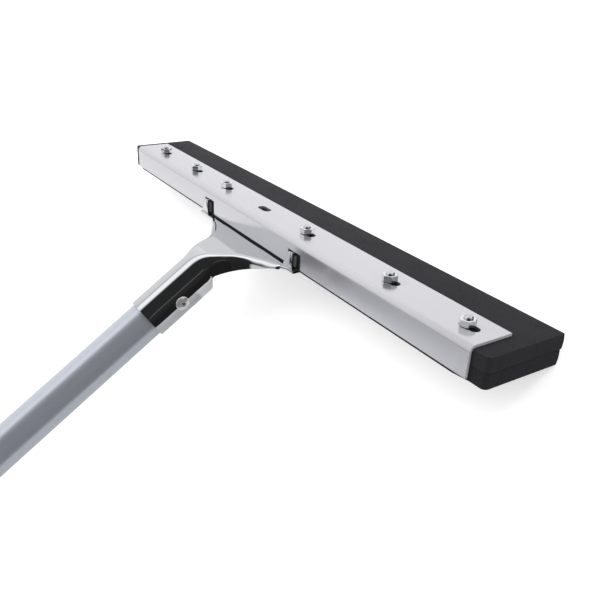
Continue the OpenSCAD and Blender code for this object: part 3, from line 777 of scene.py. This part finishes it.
# The side runs on this far past the grid's last row before it turns towards the bar
NOTCH = 0.8
EAR_SIDES = [round(side * LOCK_X - LOCK_W / 2 - EAR_GAP + EAR_IN_SLOT, 2) for side in (-1, 1)]
BAR_LEFT, BAR_RIGHT = EAR_SIDES[0] - EAR_W, LOCK_X
BOLT_HOLES = [MIDDLE_BOLT - BOLT_PITCH, MIDDLE_BOLT, MIDDLE_BOLT + BOLT_PITCH]


def rounded(x, y, sx, sy, steps=4):
    """Points round a corner of the bar; sx and sy say which corner, and the walk is anticlockwise."""
    centre = Vector((x - sx * BAR_ROUND, y - sy * BAR_ROUND))
    start = math.atan2(sy, sx) - math.pi / 4
    return [(centre.x + BAR_ROUND * math.cos(start + math.pi / 2 * i / steps),
             centre.y + BAR_ROUND * math.sin(start + math.pi / 2 * i / steps)) for i in range(steps + 1)]


end_half = TUBE_R + FLARE_R * (1 - math.cos(FLARE_TURN)) + (SIDE_RUN - FLANGE_STOP) * math.sin(FLARE_TURN)
notch_x = end_half + NOTCH * math.sin(FLARE_TURN)
notch_y = ROWS[-1][0] + NOTCH * math.cos(FLARE_TURN)
outline = [(notch_x, notch_y), (FLARE_OUT, CROSSBAR_Y)]
outline += rounded(BAR_RIGHT, CROSSBAR_Y, 1, -1) + rounded(BAR_RIGHT, CROSSBAR_END, 1, 1)
outline += rounded(BAR_LEFT, CROSSBAR_END, -1, 1) + rounded(BAR_LEFT, CROSSBAR_Y, -1, -1)
outline += [(-FLARE_OUT, CROSSBAR_Y), (-notch_x, notch_y)]
print("outline of the front:", len(outline), "points")

# %% Fill the flat front
rim = [sheet.verts.new((x, y, WING_Z)) for x, y in outline]
for a, b in [*zip(rim, rim[1:]), (last_row[-1], rim[0]), (rim[-1], last_row[0])]:
    sheet.edges.new((a, b))
loop = set(rim + last_row)
spanned = [e for v in loop for e in v.link_edges if e.other_vert(v) in loop and not len(e.link_faces) > 1]
for x in BOLT_HOLES:
    hole = bmesh.ops.create_circle(sheet, cap_ends=False, radius=BOLT_D / 2 + BOLT_PLAY, segments=32,
                                   matrix=Matrix.Translation((x, 0, WING_Z)))["verts"]
    spanned += [e for v in hole for e in v.link_edges]
filled = bmesh.ops.triangle_fill(sheet, use_beauty=True, use_dissolve=False, edges=list(set(spanned)),
                                 normal=(0, 0, 1))["geom"]
print("flat front:", sum(isinstance(f, bmesh.types.BMFace) for f in filled), "triangles")

# %% Thickness of the sheet
BROKEN_EDGE, CUT_ANGLE = 0.22, math.radians(50)
bmesh.ops.recalc_face_normals(sheet, faces=sheet.faces)
sheet.normal_update()
front = max(sheet.faces, key=lambda f: f.calc_center_median().y)
if front.normal.z < 0:
    bmesh.ops.reverse_faces(sheet, faces=sheet.faces)
bmesh.ops.transform(sheet, matrix=LAY, verts=sheet.verts)
yoke = finish_piece(sheet, "yoke_sheet", CHROME, "root", smooth_deg=50)
thick = yoke.modifiers.new("sheet_thickness", "SOLIDIFY")
thick.thickness = SHEET / 1000
thick.offset = -1
thick.use_even_offset = True
thick.use_quality_normals = True
broken = yoke.modifiers.new("broken_edges", "BEVEL")
broken.limit_method = "ANGLE"
broken.angle_limit = CUT_ANGLE
broken.width = BROKEN_EDGE / 1000
broken.segments = 2
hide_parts("yoke")
print("yoke faces before its thickness:", len(yoke.data.polygons))

# %% [markdown]
# Two ears stand up from the bar behind the cover. Each ends in a tongue that reaches forward
# through the side leg of a locking slot. They are small plates: a drawn outline, extruded by the
# sheet's thickness, with all its edges eased.

# %% Ears
HOOK_W, EAR_EASE = 4.5, 0.25
HOOK_Z = -(LOCK_TOP + LOCK_LEG / 2)
HOOK_REACH = round(WALL_Y + SHEET + GAP, 2)
# The tongue starts inside the plate and is a hair smaller, so that no two faces share a plane
TONGUE_IN, SHY = 0.6, 0.02
# The foot starts inside the bar, at this share of its thickness
FOOT_IN = 0.8
ear_shape = bmesh.new()
for side in EAR_SIDES:
    foot, top_z, shoulder = WING_Z - SHEET * FOOT_IN, HOOK_Z + SHEET / 2, HOOK_Z - 2 * SHEET
    points = [(side - EAR_W, foot), (side, foot), (side, top_z), (side - HOOK_W, top_z),
              (side - HOOK_W, shoulder), (side - EAR_W, foot + 2 * SHEET)]
    plate = ear_shape.faces.new([ear_shape.verts.new((x, EAR_Y, z)) for x, z in points])
    grown = bmesh.ops.extrude_face_region(ear_shape, geom=[plate])["geom"]
    moved = [v for v in grown if isinstance(v, bmesh.types.BMVert)]
    bmesh.ops.translate(ear_shape, vec=(0, SHEET, 0), verts=moved)
    middle = Vector((side - HOOK_W / 2, (EAR_Y + TONGUE_IN + HOOK_REACH) / 2, HOOK_Z))
    extent = (HOOK_W - SHY, HOOK_REACH - EAR_Y - TONGUE_IN, SHEET - SHY, 1)
    tongue = Matrix.Translation(middle) @ Matrix.Diagonal(extent)
    bmesh.ops.create_cube(ear_shape, size=1.0, matrix=tongue)
bmesh.ops.recalc_face_normals(ear_shape, faces=ear_shape.faces)
bmesh.ops.bevel(ear_shape, geom=ear_shape.edges[:], offset=EAR_EASE, offset_type="OFFSET", segments=2,
                profile=0.5, material=-1, affect="EDGES", clamp_overlap=True)
bmesh.ops.transform(ear_shape, matrix=LAY, verts=ear_shape.verts)
ears = finish_piece(ear_shape, "yoke_ears", CHROME, "root", smooth_deg=40)
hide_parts("yoke")
print("ears:", len(ears.data.polygons), "faces")

# %% [markdown]
# ## Handle and rivet
# Round pieces are turned: a profile is drawn beside an axis and spun about it, and the last step
# is merged with the first. The handle is a thin tube whose ends are eased.


# %% Turned pieces
def turned(profile, place, segments):
    """Spins a closed profile of (radius, height) about z and lays it at a place on the level head."""
    shape = bmesh.new()
    made = [shape.verts.new((r, 0, h)) for r, h in profile]
    edges = [shape.edges.new((a, b)) for a, b in zip(made, made[1:] + made[:1])]
    bmesh.ops.spin(shape, geom=made + edges, cent=(0, 0, 0), axis=(0, 0, 1), dvec=(0, 0, 0),
                   angle=2 * math.pi, steps=segments, use_merge=True, use_duplicate=False)
    bmesh.ops.recalc_face_normals(shape, faces=shape.faces)
    bmesh.ops.transform(shape, matrix=LAY @ place, verts=shape.verts)
    return shape


def on_handle(s):
    """A place on the handle's axis, at a distance behind the cover's rear wall."""
    return (Matrix.Translation((0, WALL_Y, AXIS_Z)) @ Matrix.Rotation(math.pi / 2 + SLOPE, 4, "X")
            @ Matrix.Translation((0, 0, s)))


TUBE_OUT, TUBE_IN, EDGE = HANDLE_D / 2, HANDLE_D / 2 - HANDLE_WALL, 0.2
TUBE_START = SOCKET_BACK - HANDLE_IN
TUBE_END = TUBE_START + HANDLE_LEN
tube_profile = [(TUBE_IN, TUBE_START + EDGE), (TUBE_IN + EDGE, TUBE_START), (TUBE_OUT - EDGE, TUBE_START),
                (TUBE_OUT, TUBE_START + EDGE), (TUBE_OUT, TUBE_END - EDGE), (TUBE_OUT - EDGE, TUBE_END),
                (TUBE_IN + EDGE, TUBE_END), (TUBE_IN, TUBE_END - EDGE)]
tube = finish_piece(turned(tube_profile, on_handle(0), 128), "handle_paint_tube", PAINT, "root",
                    smooth_deg=30)
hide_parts("handle_tube")
print("tube turned:", len(tube.data.polygons), "faces")

# %% [markdown]
# A blind rivet is a hollow pin with a domed head. A mandrel is pulled through it until the far end
# swells behind the sheet. Its profile goes round the bulb inside the tube, out along the shank to
# the head's rim, over the dome and back down the bore.

# %% Rivet
RIVET_IN, HEAD_R, SHANK_R, BORE_R = 23.5, 4.75, 2.4, 1.344
DOME, HEAD_EDGE, UNDER_HEAD, BULB_WIDER = 1.7, 0.35, 0.05, 0.9
DOME_STEP, DOME_POINTS = 10, 7
grip = TUBE_IN - 0.1
bulb_r = SHANK_R + BULB_WIDER
bulb = [(r, grip - deep) for r, deep in ((BORE_R, 3.2), (bulb_r, 2.6), (bulb_r, 0.6), (SHANK_R, 0.2))]
seat = [(SHANK_R, TUBE_R + UNDER_HEAD), (HEAD_R, TUBE_R + UNDER_HEAD)]
dome = [(HEAD_R * math.cos(a), TUBE_R + HEAD_EDGE + (DOME - HEAD_EDGE) * math.sin(a))
        for a in [math.radians(DOME_STEP * i) for i in range(DOME_POINTS)]]
mouth = [(BORE_R + 0.45, TUBE_R + DOME), (BORE_R + 0.1, TUBE_R + DOME - 0.1), (BORE_R, TUBE_R + DOME - 0.4)]
sideways = on_handle(SOCKET_BACK - RIVET_IN) @ Matrix.Rotation(math.pi / 2, 4, "Y")
rivet = finish_piece(turned(bulb + seat + dome + mouth, sideways, 48), "rivet_dome", RIVET, "root")
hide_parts("handle_rivet")
print("rivet turned:", len(rivet.data.polygons), "faces")

# %% [markdown]
# ## Blade
# The blade is two strips of foam rubber, one on the other. Each is cut from sheet, so its faces
# are flat and its corners small rounds. Foam that is clamped between two steel plates swells
# where the plates end, so each strip's free edges bulge a little between seam and face, and the
# lower strip is squeezed out under the cover's rear wall. A block is cut into enough loops to
# bend, and then its vertices are moved.

# %% Foam strips
REAR_CORNER, LIP_CORNER = 3.0, 1.0
FOAM_EASE, FOAM_BULGE = 0.25, 0.25
LOOPS_ALONG, LOOPS_UP = 44, 5
RIM_ANGLE = math.radians(60)
# A post is an edge that rises more than UPRIGHT; TOUCH is the slack where places are compared
TOUCH, UPRIGHT = 0.01, 1
UNDER_WALL = -(COVER_WALL + 0.15)


def foam_block(low, high):
    """A block between two corners, with round corners at its rear and lip and with eased rims."""
    shape = bmesh.new()
    bmesh.ops.create_cube(shape, size=1.0)
    size = high - low
    bmesh.ops.scale(shape, vec=size, verts=shape.verts)
    bmesh.ops.translate(shape, vec=(low + high) / 2, verts=shape.verts)
    for radius, side in ((REAR_CORNER, -1), (LIP_CORNER, 1)):
        posts = [e for e in shape.edges if abs(e.verts[0].co.z - e.verts[1].co.z) > UPRIGHT
                 and side * (e.verts[0].co.y - (low.y + high.y) / 2) > size.y / 2 - TOUCH]
        bmesh.ops.bevel(shape, geom=posts, offset=radius, offset_type="OFFSET", segments=6, profile=0.5,
                        material=-1, affect="EDGES")
    rims = [e for e in shape.edges if abs(e.calc_face_angle(0)) > RIM_ANGLE]
    bmesh.ops.bevel(shape, geom=rims, offset=FOAM_EASE, offset_type="OFFSET", segments=3, profile=0.5,
                    material=-1, affect="EDGES")
    return shape


def cut_loops(shape, low, high, squeezed_mm):
    """Cuts loops across and along the block, and two more where the squeezed part starts."""
    size = high - low
    cuts = [(low.x + size.x * i / LOOPS_ALONG, 0) for i in range(1, LOOPS_ALONG)]
    cuts += [(low.z + size.z * i / LOOPS_UP, 2) for i in range(1, LOOPS_UP)]
    if squeezed_mm:
        cuts += [(UNDER_WALL, 2), (UNDER_WALL - 0.25, 2)]
    for place, along in cuts:
        plane = [float(i == along) for i in range(3)]
        bmesh.ops.bisect_plane(shape, geom=shape.verts[:] + shape.edges[:] + shape.faces[:],
                               plane_co=[place * n for n in plane], plane_no=plane)


def foam_strip(node, material, lean_mm, squeezed_mm=0.0):
    """One layer of the blade: a block with swollen free edges.

    lean_mm is how far the lip's lower edge falls back, squeezed_mm how far the rear swells out
    under the cover's rear wall."""
    low, high = level_box(node)
    shape = foam_block(low, high)
    cut_loops(shape, low, high, squeezed_mm)
    size = high - low
    for v in shape.verts:
        up = (v.co.z - low.z) / size.z
        swell = math.sin(math.pi * up) * FOAM_BULGE - FOAM_BULGE
        if v.co.y > high.y - REAR_CORNER:
            v.co.y += swell - lean_mm * (1 - up)
        if abs(v.co.x) > high.x - REAR_CORNER - TOUCH:
            v.co.x += swell * (1 if v.co.x > 0 else -1)
        if v.co.y < low.y + 1 and v.co.z < UNDER_WALL - 0.1 and abs(v.co.x) < cover_high.x - 1:
            v.co.y -= squeezed_mm
    bmesh.ops.transform(shape, matrix=LAY, verts=shape.verts)
    piece = finish_piece(shape, node + "_strip", material, "root", smooth_deg=50)
    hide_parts(node)
    print(piece.name, len(piece.data.polygons), "faces")


foam_strip("foam_upper", FOAM_UPPER, 0.0)
foam_strip("foam_lower", FOAM_LOWER, 0.6, squeezed_mm=1.6)
